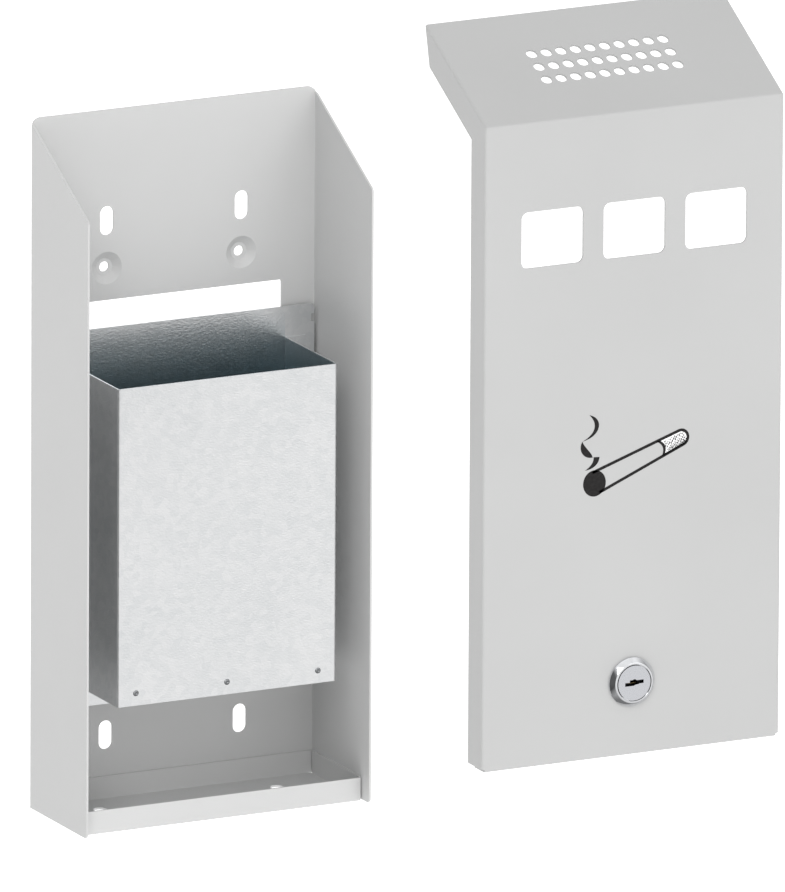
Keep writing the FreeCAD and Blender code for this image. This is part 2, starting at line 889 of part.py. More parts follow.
def cut_cover_openings(body):
    """The three ash slots, the roof's vents and the lock's hole."""
    thickness = size.sheet_thickness
    openings = new_sketch(body, "ash_slot_outline", "XZ_Plane", cover_front)
    half = size.slot_width / 2
    rise = size.slot_rise / 2
    for step in (-1, 0, 1):
        centre = step * size.slot_pitch
        draw_rounded_rectangle(
            openings, centre - half, centre + half, size.slot_height - rise,
            size.slot_height + rise, size.slot_corner_radius,
        )
    draw_circle(openings, 0, size.lock_height, size.barrel_radius + size.hole_gap)
    cut(body, "ash_slots_and_lock_hole", openings, thickness * 4)

    middle = (cover_front + roof_rear) / 2
    vents = new_sketch(body, "vent_outline", "XY_Plane", roof_height(middle))
    offset = vents.AttachmentOffset
    offset.Rotation = FreeCAD.Rotation(ALONG_X, slope_angle(roof_slope).value)
    vents.AttachmentOffset = offset
    bind(vents, "AttachmentOffset.Rotation.Angle", slope_angle(roof_slope))
    bind(vents, "AttachmentOffset.Base.y", -middle)
    for column in range(VENT_COLUMNS):
        across = (column - (VENT_COLUMNS - 1) / 2) * size.vent_pitch_across
        for row in range(VENT_ROWS):
            along = (row - (VENT_ROWS - 1) / 2) * size.vent_pitch_along
            draw_circle(vents, across, along, size.vent_radius)
    cut(body, "vents", vents, thickness * 4)


# ---------------------------------------------------------------- lock


def build_lock_barrel():
    """The fixed cylinder: bevelled bezel in front of the cover, threaded tube behind."""
    gap = size.running_gap
    bore = size.plug_radius + gap
    recess = size.plug_head_radius + gap
    recess_floor = head_rear - gap
    body = new_body("lock_barrel")
    profile = [
        (barrel_rear, bore),
        (barrel_rear, size.barrel_radius),
        (cover_front, size.barrel_radius),
        (cover_front, size.bezel_radius),
        (cover_front + size.bezel_rim, size.bezel_radius),
        (bezel_face, size.bezel_face_radius),
        (bezel_face, recess),
        (recess_floor, recess),
        (recess_floor, bore),
    ]
    turn(body, "barrel", profile)
    return place(body, on_cover=True)


def build_lock_plug():
    """The plug that the key turns, with its keyway, wafer slots and square tail."""
    body = new_body("lock_plug")
    radius = size.plug_radius
    head = size.plug_head_radius
    profile = [
        (barrel_rear, 0),
        (barrel_rear, radius),
        (head_rear, radius),
        (head_rear, head),
        (bezel_face, head),
        (bezel_face, 0),
    ]
    turn(body, "plug", profile)
    half_tail = size.tail_width / 2
    axis = size.lock_height
    tail = new_sketch(body, "tail_outline", "XZ_Plane", tail_rear)
    draw_rectangle(tail, -half_tail, half_tail, axis - half_tail, axis + half_tail)
    pad(body, "tail", tail, barrel_rear - tail_rear)

    cut_keyway_mouth(body)
    keyway = new_sketch(body, "keyway_outline", "XZ_Plane", bezel_face)
    left = -size.keyway_width / 2
    step = left + size.keyway_step_width
    low = axis - size.keyway_height / 2
    points = [
        (left, low),
        (left + size.keyway_width, low),
        (left + size.keyway_width, low + size.keyway_height),
        (step, low + size.keyway_height),
        (step, low + size.keyway_height + size.keyway_step_height),
        (left, low + size.keyway_height + size.keyway_step_height),
    ]
    draw_outline(keyway, points)
    cut(body, "keyway", keyway, size.keyway_depth * 2)

    half_slot = size.wafer_width / 2 + size.wafer_slot_gap
    for number in range(WAFER_COUNT):
        slot = new_sketch(body, f"wafer_slot_{number + 1}_outline", "XZ_Plane", wafer_depth(number))
        draw_rectangle(slot, -half_slot, half_slot, axis - radius * 2, axis + radius * 2)
        cut(body, f"wafer_slot_{number + 1}", slot, size.wafer_thickness + size.wafer_slot_gap * 2)

    screw_hole = new_sketch(body, "screw_hole_outline", "XZ_Plane", tail_rear)
    draw_circle(screw_hole, 0, axis, bolt_radius)
    cut(body, "screw_hole", screw_hole, (size.screw_shank_length - size.cam_washer_thickness) * 2)
    return place(body, on_cover=True)


def cut_keyway_mouth(body):
    """The stepped mouth in the plug's head, with a round middle for the key's stem."""
    half = size.mouth_width / 2
    high = size.lock_height + size.mouth_height / 2
    low = high - size.mouth_height
    mouth = new_sketch(body, "mouth_outline", "XZ_Plane", bezel_face)
    points = [
        (-half, low - size.mouth_step / 2),
        (0, low - size.mouth_step / 2),
        (0, low + size.mouth_step / 2),
        (half, low + size.mouth_step / 2),
        (half, high + size.mouth_step / 2),
        (-size.mouth_round_radius, high + size.mouth_step / 2),
        (-size.mouth_round_radius, high - size.mouth_step / 2),
        (-half, high - size.mouth_step / 2),
    ]
    draw_outline(mouth, points)
    cut(body, "keyway_mouth", mouth, size.mouth_depth * 2)
    stem = new_sketch(body, "stem_outline", "XZ_Plane", bezel_face)
    draw_circle(stem, 0, size.lock_height + size.mouth_step / 2, size.mouth_round_radius)
    cut(body, "keyway_stem", stem, size.mouth_depth * 2)


def wafer_depth(number):
    """Depth of a wafer's middle; the wafers fill the middle of the barrel's tube."""
    middle = (head_rear + barrel_rear) / 2 + size.wafer_pitch / 2
    return middle + (number - (WAFER_COUNT - 1) / 2) * size.wafer_pitch


def build_lock_wafers():
    """Flat wafers, each with a window that its cut of the key lifts."""
    wafers = []
    axis = size.lock_height
    for number in range(WAFER_COUNT):
        rear = wafer_depth(number) - size.wafer_thickness / 2
        lift = ((number * 2) % 3 - 1) * size.wafer_cut_step
        plate = add_box(
            f"wafer_{number + 1}_plate", size.wafer_width, size.wafer_below + size.wafer_above,
            size.wafer_thickness, rear, axis - size.wafer_below,
        )
        window = add_box(
            f"wafer_{number + 1}_window", size.wafer_window_width, size.wafer_window_height,
            size.wafer_thickness, rear, axis + lift - size.wafer_window_height / 2,
        )
        wafer = document.addObject("Part::Cut", f"wafer_{number + 1}")
        wafer.Base = plate
        wafer.Tool = window
        wafers.append(wafer)
    group = document.addObject("Part::Compound", "lock_wafers")
    group.Label = "lock_wafers"
    group.Links = wafers
    return place(group, on_cover=True)


def add_box(name, width, height, thickness, rear, bottom):
    """A plate across the lock's axis, centred on it from side to side."""
    box = document.addObject("Part::Box", name)
    bind(box, "Length", width)
    bind(box, "Width", thickness)
    bind(box, "Height", height)
    bind(box, "Placement.Base.x", -(width / 2))
    bind(box, "Placement.Base.y", -(rear + thickness))
    bind(box, "Placement.Base.z", bottom)
    return box


def build_wafer_springs():
    """One short spring on top of each wafer, drawn as its outer cylinder."""
    springs = []
    for number in range(WAFER_COUNT):
        spring = document.addObject("Part::Cylinder", f"wafer_spring_{number + 1}")
        bind(spring, "Radius", size.spring_radius)
        bind(spring, "Height", size.spring_length)
        bind(spring, "Placement.Base.y", -wafer_depth(number))
        bind(spring, "Placement.Base.z", size.lock_height + size.wafer_above)
        springs.append(spring)
    group = document.addObject("Part::Compound", "wafer_springs")
    group.Label = "wafer_springs"
    group.Links = springs
    return place(group, on_cover=True)


def build_lock_washer():
    rear = cover_inner - size.lock_washer_thickness
    inner = size.barrel_radius + size.hole_gap
    body = new_body("lock_washer")
    profile = [
        (rear, inner),
        (rear, size.lock_washer_radius),
        (cover_inner, size.lock_washer_radius),
        (cover_inner, inner),
    ]
    turn(body, "washer", profile)
    return place(body, on_cover=True)


def build_lock_nut():
    """The hexagon nut that clamps the cover between itself and the bezel."""
    front = cover_inner - size.lock_washer_thickness
    body = new_body("lock_nut")
    outline = new_sketch(body, "nut_outline", "XZ_Plane", front - size.nut_thickness)
    flat = size.nut_across_flats / 2
    corner = size.nut_across_flats / math.sqrt(3)
    axis = size.lock_height
    points = [
        (corner, axis),
        (corner / 2, axis + flat),
        (-corner / 2, axis + flat),
        (-corner, axis),
        (-corner / 2, axis - flat),
        (corner / 2, axis - flat),
    ]
    draw_outline(outline, points)
    draw_circle(outline, 0, axis, size.barrel_radius)
    pad(body, "nut", outline, size.nut_thickness)
    return place(body, on_cover=True)


def build_lock_stop_washer():
    """The washer on the plug's tail whose ear stops the quarter turn."""
    rear = stop_washer_front - size.stop_washer_thickness
    return build_tail_plate("lock_stop_washer", rear, size.stop_washer_thickness, "washer")


def build_lock_cam():
    """The flat cam that swings down behind the pan's lip."""
    return build_tail_plate("lock_cam", cam_rear, size.cam_thickness, "cam")


def build_tail_plate(label, rear, thickness, kind):
    """A plate with a square hole that fits the plug's tail."""
    axis = size.lock_height
    half_tail = size.tail_width / 2
    body = new_body(label)
    outline = new_sketch(body, f"{kind}_outline", "XZ_Plane", rear)
    if kind == "cam":
        half = size.cam_half_width
        points = [
            (0, axis - half),
            (size.cam_reach, axis - half),
            (size.cam_reach, axis + half),
            (0, axis + half),
        ]
        draw_outline(outline, points, {3: ((0, axis), 1)})
    else:
        draw_circle(outline, 0, axis, size.stop_washer_radius)
    draw_rectangle(outline, -half_tail, half_tail, axis - half_tail, axis + half_tail)
    pad(body, kind, outline, thickness)
    return place(body, on_cover=True)


def build_cam_washer():
    body = new_body("cam_washer")
    profile = [
        (cam_washer_rear, bolt_radius),
        (cam_washer_rear, size.cam_washer_radius),
        (cam_rear, size.cam_washer_radius),
        (cam_rear, bolt_radius),
    ]
    turn(body, "washer", profile)
    return place(body, on_cover=True)


def build_cam_screw():
    """The screw that holds the cam on the plug's tail, with a hexagon-key socket."""
    head_end = cam_washer_rear - size.screw_head_length
    body = new_body("cam_screw")
    profile = [
        (head_end, 0),
        (head_end, size.screw_head_radius),
        (cam_washer_rear, size.screw_head_radius),
        (cam_washer_rear, bolt_radius),
        (cam_washer_rear + size.screw_shank_length, bolt_radius),
        (cam_washer_rear + size.screw_shank_length, 0),
    ]
    turn(body, "screw", profile)
    socket = new_sketch(body, "socket_outline", "XZ_Plane", head_end)
    half = size.screw_socket_width / 2
    corner = size.screw_socket_width / math.sqrt(3)
    axis = size.lock_height
    points = [
        (corner, axis),
        (corner / 2, axis + half),
        (-corner / 2, axis + half),
        (-corner, axis),
        (-corner / 2, axis - half),
        (corner / 2, axis - half),
    ]
    draw_outline(socket, points)
    cut(body, "socket", socket, size.screw_socket_depth * 2)
    return place(body, on_cover=True)


# ---------------------------------------------------------------- build and export


SUBPARTS = [
    build_back_housing(),
    build_bottom_pan(),
    build_container_body(),
    build_container_back_plate(),
    build_container_bottom(),
    build_container_rivets(),
    build_container_hanger(),
    build_front_cover(),
    build_lock_barrel(),
    build_lock_washer(),
    build_lock_nut(),
    build_lock_plug(),
    build_lock_wafers(),
    build_wafer_springs(),
    build_lock_stop_washer(),
    build_lock_cam(),
    build_cam_washer(),
    build_cam_screw(),
]

document.recompute()
for item in document.Objects:
    if {"Invalid", "Error"} & set(item.State):
        raise RuntimeError(f"{item.Label} failed: {item.State}")
for part in SUBPARTS:
    if part.Shape.isNull() or not part.Shape.isValid():
        raise RuntimeError(f"{part.Label} has no valid shape")
for part in SUBPARTS:
    part.Shape.exportStep(f"parts/{part.Label}.step")
    box = part.Shape.BoundBox
    print(part.Label, len(part.Shape.Solids), round(part.Shape.Volume, 1), box)
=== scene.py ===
"""Visual model of the wall ashtray bin: housing, hung container, cover and cam lock.

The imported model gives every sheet-metal piece its shape and place. This script dresses
those pieces, replaces the lock's barrel, the rivets and the wafer springs with finer
surfaces, prints the symbol on the cover, marks the container's spot welds, and sets up
the studio. Lengths are in metres; only the symbol is drawn in millimetres.
"""

import logging
import math
from dataclasses import dataclass, field
from enum import Enum

import bpy
import numpy as np
from mathutils import Matrix, Vector


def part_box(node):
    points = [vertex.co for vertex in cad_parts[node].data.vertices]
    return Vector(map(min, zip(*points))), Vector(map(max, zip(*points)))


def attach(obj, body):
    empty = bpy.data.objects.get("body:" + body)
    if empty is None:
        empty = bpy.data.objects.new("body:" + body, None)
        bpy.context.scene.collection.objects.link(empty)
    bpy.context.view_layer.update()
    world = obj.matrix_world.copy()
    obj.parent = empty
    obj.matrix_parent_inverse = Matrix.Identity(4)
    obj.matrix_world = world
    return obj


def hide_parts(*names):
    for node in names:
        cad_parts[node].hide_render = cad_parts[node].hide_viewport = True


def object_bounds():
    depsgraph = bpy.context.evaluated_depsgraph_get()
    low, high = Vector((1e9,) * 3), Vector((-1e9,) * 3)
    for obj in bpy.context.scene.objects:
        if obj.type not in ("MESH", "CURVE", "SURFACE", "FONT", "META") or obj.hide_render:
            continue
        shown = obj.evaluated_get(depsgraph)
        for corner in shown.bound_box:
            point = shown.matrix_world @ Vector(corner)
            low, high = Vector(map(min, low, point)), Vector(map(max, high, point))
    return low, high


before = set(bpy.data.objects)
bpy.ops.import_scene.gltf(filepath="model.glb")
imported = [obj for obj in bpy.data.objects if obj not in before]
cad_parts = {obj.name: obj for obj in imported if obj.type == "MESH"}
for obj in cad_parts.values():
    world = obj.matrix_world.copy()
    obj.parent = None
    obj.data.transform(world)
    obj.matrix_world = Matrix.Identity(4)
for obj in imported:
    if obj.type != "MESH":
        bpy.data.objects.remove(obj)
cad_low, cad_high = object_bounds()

log = logging.getLogger("ashtray_bin")
MM = 0.001
# Steps whose multiples never line up: the golden one, and 1/p and 1/p^2 of the plastic number p.
GOLDEN = (math.sqrt(5) - 1) / 2
SPREAD_ALONG, SPREAD_ACROSS = 0.7548776662, 0.5698402910
# The sockets of a colour mix, whose names other kinds of mix share.
MIX_FACTOR, MIX_FIRST, MIX_SECOND, MIX_RESULT = 0, 6, 7, 2
# The length of one ring of the wave texture at scale 1.
RING_LENGTH = 0.314

Triple = tuple[float, float, float]
Colour = Triple
Socket = bpy.types.NodeSocket


# ------------------------------------------------------------------ surfaces


class Turn(Enum):
    """Which way a grid's faces look: along its first direction's cross product, or back."""

    OUT = 1
    IN = -1


@dataclass
class Patch:
    """A grid of points and how it closes on itself."""

    points: np.ndarray
    wrap_rows: bool = False
    wrap_columns: bool = False
    turn: Turn = Turn.OUT


def grid_faces(patch: Patch, start: int) -> np.ndarray:
    """Number the quads of a grid.

    Args:
        patch: the grid, rows by columns by three.
        start: index of the grid's first point in the mesh.

    Returns:
        One row of four point indices for each quad.
    """
    rows, columns = patch.points.shape[:2]
    index = np.arange(rows * columns).reshape(rows, columns) + start
    if patch.wrap_rows:
        index = np.vstack([index, index[:1]])
    if patch.wrap_columns:
        index = np.hstack([index, index[:, :1]])
    corners = [index[:-1, :-1], index[1:, :-1], index[1:, 1:], index[:-1, 1:]]
    if patch.turn is Turn.IN:
        corners.reverse()
    return np.stack([corner.ravel() for corner in corners], axis=1)


def make_piece(name: str, patches: list[Patch], smooth: bool = True) -> bpy.types.Object:
    """Join grids into one mesh object at the origin.

    Args:
        name: the piece's name.
        patches: the grids that the piece is made of.
        smooth: whether faces are shaded smoothly.

    Returns:
        The new object, already in the scene.
    """
    points, faces, start = [], [], 0
    for patch in patches:
        points.append(patch.points.reshape(-1, 3))
        faces.append(grid_faces(patch, start))
        start += len(points[-1])
    mesh = bpy.data.meshes.new(name)
    mesh.from_pydata(np.vstack(points).tolist(), [], np.vstack(faces).tolist())
    mesh.polygons.foreach_set("use_smooth", np.full(len(mesh.polygons), smooth))
    mesh.update()
    piece = bpy.data.objects.new(name, mesh)
    bpy.context.scene.collection.objects.link(piece)
    log.info("%s: %d faces", name, len(mesh.polygons))
    return piece


def lathe(profile: np.ndarray, axis: Vector, steps: int, closed: bool = True) -> Patch:
    """Turn a profile about a line along Y.

    P(i, angle) = axis + (radius_i cos angle, y_i, radius_i sin angle).

    Args:
        profile: rows of (y, radius), going round the section.
        axis: any point on the axis; only its x and z are used.
        steps: how many steps make the full turn.
        closed: whether the profile's last point joins its first.

    Returns:
        The turned grid.
    """
    angle = np.linspace(0, 2 * np.pi, steps, endpoint=False)
    y, radius = profile[:, 0, None], profile[:, 1, None]
    across = axis.x + radius * np.cos(angle)
    up = axis.z + radius * np.sin(angle)
    depth = np.broadcast_to(y, across.shape)
    points = np.stack([across, depth, up], axis=-1)
    return Patch(points, wrap_rows=closed, wrap_columns=True)


def bezier(controls: list[tuple[float, float]], count: int = 24) -> np.ndarray:
    """Sample a cubic curve: the Bernstein sum of its four control points.

    Args:
        controls: four (across, up) points.
        count: number of samples.

    Returns:
        The samples, one (across, up) row each.
    """
    t = np.linspace(0, 1, count)[:, None]
    a, b, c, d = (np.array(point, dtype=float) for point in controls)
    return (1 - t) ** 3 * a + 3 * t * (1 - t) ** 2 * b + 3 * t**2 * (1 - t) * c + t**3 * d


# ------------------------------------------------------------------ finishes


class Operation(Enum):
    """What becomes of two values."""

    PLUS = "ADD"
    TIMES = "MULTIPLY"
    LARGER = "MAXIMUM"


class Wiring:
    """A node tree, wired up node by node."""

    def __init__(self, tree: bpy.types.NodeTree) -> None:
        """Take hold of the tree."""
        self.tree = tree

    def add(self, kind: str, **settings: object) -> bpy.types.Node:
        """Add a node and set its plain properties.

        Args:
            kind: the node's type.
            settings: its properties by name.

        Returns:
            The new node.
        """
        node = self.tree.nodes.new(kind)
        for key, value in settings.items():
            setattr(node, key, value)
        return node

    def link(self, source: Socket, target: Socket) -> None:
        """Join two sockets."""
        self.tree.links.new(source, target)

    def spread(self, value: Socket, low: float, high: float,
               source: tuple[float, float] = (0.3, 0.7)) -> Socket:
        """Map a value evenly from one range to another, and hold it at the ends.

        Args:
            value: the value to map.
            low: what it becomes at the source range's start.
            high: what it becomes at the source range's end.
            source: the range that it is mapped from.

        Returns:
            The mapped value.
        """
        node = self.add("ShaderNodeMapRange")
        node.inputs["From Min"].default_value, node.inputs["From Max"].default_value = source
        node.inputs["To Min"].default_value = low
        node.inputs["To Max"].default_value = high
        self.link(value, node.inputs["Value"])
        return node.outputs["Result"]

    def combine(self, operation: Operation, first: Socket, second: Socket) -> Socket:
        """Work out one value from two.

        Args:
            operation: what becomes of them.
            first: one value.
            second: the other value.

        Returns:
            Their sum, their product or the larger one.
        """
        node = self.add("ShaderNodeMath", operation=operation.value)
        self.link(first, node.inputs[0])
        self.link(second, node.inputs[1])
        return node.outputs[0]


class Shader(Wiring):
    """A material's node tree with one Principled shader."""

    def __init__(self, name: str) -> None:
        """Make the material and find its shader.

        Args:
            name: the material's name.
        """
        self.material = bpy.data.materials.new(name)
        self.material.use_nodes = True
        super().__init__(self.material.node_tree)
        self.surface = self.tree.nodes["Principled BSDF"]

    def feed(self, name: str, source: Socket) -> None:
        """Join a value that varies over the surface to one of the shader's inputs."""
        self.link(source, self.surface.inputs[name])

    def fix(self, name: str, value: object) -> None:
        """Set one of the shader's inputs to a value that is the same all over."""
        self.surface.inputs[name].default_value = value

    def place(self, stretch: Triple = (1, 1, 1)) -> Socket:
        """Give object coordinates, stretched along each axis.

        Args:
            stretch: the factors along x, y and z.

        Returns:
            The coordinates.
        """
        coordinates = self.add("ShaderNodeTexCoord")
        mapping = self.add("ShaderNodeMapping")
        mapping.inputs["Scale"].default_value = stretch
        self.link(coordinates.outputs["Object"], mapping.inputs["Vector"])
        return mapping.outputs["Vector"]

    def noise(self, where: Socket, scale: float, detail: float = 2) -> Socket:
        """Add a noise field.

        Args:
            where: the coordinates that it is read at.
            scale: how many features lie along a unit of them.
            detail: how many finer layers it has.

        Returns:
            The field's value.
        """
        node = self.add("ShaderNodeTexNoise")
        node.inputs["Scale"].default_value = scale
        node.inputs["Detail"].default_value = detail
        self.link(where, node.inputs["Vector"])
        return node.outputs["Fac"]

    def blend(self, factor: Socket, first: Colour | Socket, second: Colour | Socket) -> Socket:
        """Mix two colours: (1 - factor) first + factor second.

        Args:
            factor: the second colour's share.
            first: a plain colour or one that varies.
            second: the same.

        Returns:
            The mixed colour.
        """
        node = self.add("ShaderNodeMix", data_type="RGBA")
        self.link(factor, node.inputs[MIX_FACTOR])
        for number, colour in ((MIX_FIRST, first), (MIX_SECOND, second)):
            if isinstance(colour, tuple):
                node.inputs[number].default_value = (*colour, 1)
            else:
                self.link(colour, node.inputs[number])
        return node.outputs[MIX_RESULT]

    def axes(self) -> bpy.types.Node:
        """Give the object coordinates as three separate values.

        Returns:
            A node whose outputs are X, Y and Z.
        """
        node = self.add("ShaderNodeSeparateXYZ")
        self.link(self.place(), node.inputs["Vector"])
        return node

    def within(self, value: Socket, start: float, stop: float) -> Socket:
        """Tell where a value lies in a span.

        Args:
            value: the value to test.
            start: the span's start.
            stop: the span's end.

        Returns:
            1 inside the span and 0 outside it.
        """
        node = self.add("ShaderNodeMath", operation="COMPARE")
        self.link(value, node.inputs[0])
        node.inputs[1].default_value = (start + stop) / 2
        node.inputs[2].default_value = (stop - start) / 2
        return node.outputs[0]

    def bump(self, height: Socket, distance: float, strength: float) -> None:
        """Raise the surface by a height field.

        Args:
            height: the field, from 0 to 1.
            distance: how high 1 stands.
            strength: how much of the slope is felt.
        """
        node = self.add("ShaderNodeBump")
        node.inputs["Distance"].default_value = distance
        node.inputs["Strength"].default_value = strength
        self.link(height, node.inputs["Height"])
        self.feed("Normal", node.outputs["Normal"])


@dataclass(frozen=True)
class PowderCoat:
    """Satin powder coat: fine orange peel and a barely uneven tone."""

    name: str = "light_grey_powder_coat"
    tone: Colour = (0.600, 0.602, 0.600)
    shade: float = 0.965
    cloud: float = 9.0
    grain: float = 850.0
    roughness: tuple[float, float] = (0.40, 0.50)
    gloss: float = 0.35
    peel_height: float = 0.00006
    peel_strength: float = 0.35

    def build(self) -> bpy.types.Material:
        """Make the coat: a slow noise shades its tone, and a fine one its relief and gloss.

        Returns:
            The material.
        """
        shader = Shader(self.name)
        where = shader.place()
        cloud = shader.spread(shader.noise(where, self.cloud, 3), 0, 1)
        dark = tuple(channel * self.shade for channel in self.tone)
        shader.feed("Base Color", shader.blend(cloud, dark, self.tone))
        peel = shader.noise(where, self.grain, 1)
        shader.feed("Roughness", shader.spread(peel, *self.roughness))
        shader.fix("Specular IOR Level", self.gloss)
        shader.bump(peel, self.peel_height, self.peel_strength)
        return shader.material


@dataclass(frozen=True)
class GalvanisedSteel:
    """Zinc-coated sheet: faint crystals, fine rolling lines, and a painted dull blue shade and reflection
    inside the box.
    """

    name: str = "galvanised_sheet"
    light: Colour = (0.885, 0.89, 0.895)
    dark: Colour = (0.76, 0.78, 0.79)
    # Painted shade and bluish reflection for the box's inside, strongest deep down.
    inside: Colour = (0.38, 0.52, 0.575)
    crystal: float = 260.0
    rolling: Triple = (700, 700, 8)
    mottle: Triple = (620, 620, 1200)
    patch: float = 14.0
    crystal_share: tuple[float, float] = (-0.25, 0.25)
    patch_share: tuple[float, float] = (0.45, 0.90)
    mottle_roughness: tuple[float, float] = (0.29, 0.31)
    rolling_roughness: tuple[float, float] = (0.0, 0.02)
    relief: float = 0.0002
    relief_strength: float = 0.55
    half_width: float = 68.5 * MM
    front: float = -74.8 * MM
    rear: float = -8.2 * MM
    floor: float = -237.7 * MM
    fade_top: float = -36.0 * MM
    fade_height: float = 50.0 * MM

    def painted_shade_mask(self, shader: Shader) -> Socket:
        """Work out how much painted shade a point gets from how far inside the box it is: 0 outside and at
        the rim, 1 deep down.

        The value is the product of a box, 1 within its half size of its middle along all
        three axes, and a ramp from fade_top down over fade_height.

        Args:
            shader: the material that gets the nodes.

        Returns:
            The product.
        """
        place = shader.axes().outputs
        source = (self.fade_top - self.fade_height, self.fade_top)
        total = shader.spread(place["Z"], 1.0, 0.0, source)
        spans = {
            "X": (-self.half_width, self.half_width),
            "Y": (self.front, self.rear),
            "Z": (self.floor, self.fade_top),
        }
        for axis, (start, stop) in spans.items():
            total = shader.combine(Operation.TIMES, total, shader.within(place[axis], start, stop))
        return total

    def build(self) -> bpy.types.Material:
        """Make the sheet: its tone is a sum of crystals and wide patches, with painted blue shade and
        reflection inside the box.

        Returns:
            The material.
        """
        shader = Shader(self.name)
        where = shader.place()
        cells = shader.add("ShaderNodeTexVoronoi")
        cells.inputs["Scale"].default_value = self.crystal
        shader.link(where, cells.inputs["Vector"])
        split = shader.add("ShaderNodeSeparateColor")
        shader.link(cells.outputs["Color"], split.inputs["Color"])
        lines = shader.noise(shader.place(self.rolling), 1.0, 2)
        mottle = shader.noise(shader.place(self.mottle), 1.0, 3)
        patches = shader.noise(where, self.patch, 4)
        tone = shader.combine(
            Operation.PLUS,
            shader.spread(split.outputs["Red"], *self.crystal_share, (0, 1)),
            shader.spread(patches, *self.patch_share),
        )
        sheet = shader.blend(tone, self.dark, self.light)
        # Inside the box the sheet's tone gives way to painted shade and reflection, darker deep down.
        shader.feed("Base Color", shader.blend(self.painted_shade_mask(shader), sheet, self.inside))
        shader.fix("Metallic", 1.0)
        rough = shader.combine(
            Operation.PLUS,
            shader.spread(mottle, *self.mottle_roughness),
            shader.spread(lines, *self.rolling_roughness),
        )
        shader.feed("Roughness", rough)
        shader.bump(mottle, self.relief, self.relief_strength)
        return shader.material


@dataclass(frozen=True)
class PlatedMetal:
    """A plated or plain metal with fine uneven polish."""

    name: str
    tone: Colour
    roughness: float
    shade: float = 0.9
    grain: float = 300.0
    fine_grain: float = 2400.0
    relief: float = 0.00001
    relief_strength: float = 0.2

    def build(self) -> bpy.types.Material:
        """Make the metal: one noise moves its tone and, by a fifth each way, its roughness.

        Returns:
            The material.
        """
        shader = Shader(self.name)
        where = shader.place()
        dark = tuple(channel * self.shade for channel in self.tone)
        cloud = shader.noise(where, self.grain, 3)
        shader.feed("Base Color", shader.blend(shader.spread(cloud, 0, 1), dark, self.tone))
        shader.fix("Metallic", 1.0)
        shader.feed("Roughness", shader.spread(cloud, self.roughness * 0.8, self.roughness * 1.2))
        shader.bump(shader.noise(where, self.fine_grain, 1), self.relief, self.relief_strength)
        return shader.material


@dataclass(frozen=True)
class PlugFinish:
    """Satin chrome with turning marks, with painted near-black shade down in the keyway."""

    face: float
    centre: tuple[float, float]
    name: str = "plug_satin_chrome"
    tone: Colour = (0.68, 0.69, 0.72)
    # Near black: painted shade for the keyway and the gap round the plug.
    keyway_shade: Colour = (0.015, 0.015, 0.017)
    unshaded_depth: float = 0.30 * MM
    keyway_depth: float = 12.0 * MM
    mark_pitch: float = 0.25 * MM
    mark_wobble: float = 0.6
    roughness: tuple[float, float] = (0.27, 0.34)
    relief: float = 0.00001
    relief_strength: float = 0.15

    def build(self) -> bpy.types.Material:
        """Make the finish: the marks are a wave over the distance from the axis.

        Returns:
            The material.
        """
        shader = Shader(self.name)
        place = shader.axes().outputs
        # From just behind the face to the keyway's depth the chrome is painted near black: painted shade
        # in the keyway and round the plug.
        deep = shader.within(place["Y"], self.face + self.unshaded_depth, self.face + self.keyway_depth)
        shader.feed("Base Color", shader.blend(deep, self.tone, self.keyway_shade))
        shader.fix("Metallic", 1.0)
        centred = shader.add("ShaderNodeVectorMath", operation="SUBTRACT")
        shader.link(shader.place(), centred.inputs[0])
        centred.inputs[1].default_value = (self.centre[0], self.face, self.centre[1])
        rings = shader.add("ShaderNodeTexWave", wave_type="RINGS", rings_direction="Y")
        rings.inputs["Scale"].default_value = RING_LENGTH / self.mark_pitch
        rings.inputs["Distortion"].default_value = self.mark_wobble
        shader.link(centred.outputs[0], rings.inputs["Vector"])
        marks = rings.outputs["Fac"]
        shader.feed("Roughness", shader.spread(marks, *self.roughness, (0, 1)))
        shader.bump(marks, self.relief, self.relief_strength)
        return shader.material


@dataclass(frozen=True)
class PrintInk:
    """Screen-printed ink: matte, with a slightly uneven density."""

    name: str
    tone: Colour
    grain: float = 700.0
    thin_gain: float = 1.5
    thin_lift: float = 0.004
    roughness: tuple[float, float] = (0.5, 0.62)
    gloss: float = 0.2

    def build(self) -> bpy.types.Material:
        """Make the ink: where it lies thin it is lighter and rougher.

        Returns:
            The material.
        """
        shader = Shader(self.name)
        density = shader.noise(shader.place(), self.grain, 2)
        thin = tuple(channel * self.thin_gain + self.thin_lift for channel in self.tone)
        shader.feed("Base Color", shader.blend(shader.spread(density, 0, 1), self.tone, thin))
        shader.feed("Roughness", shader.spread(density, *self.roughness))
        shader.fix("Specular IOR Level", self.gloss)
        return shader.material


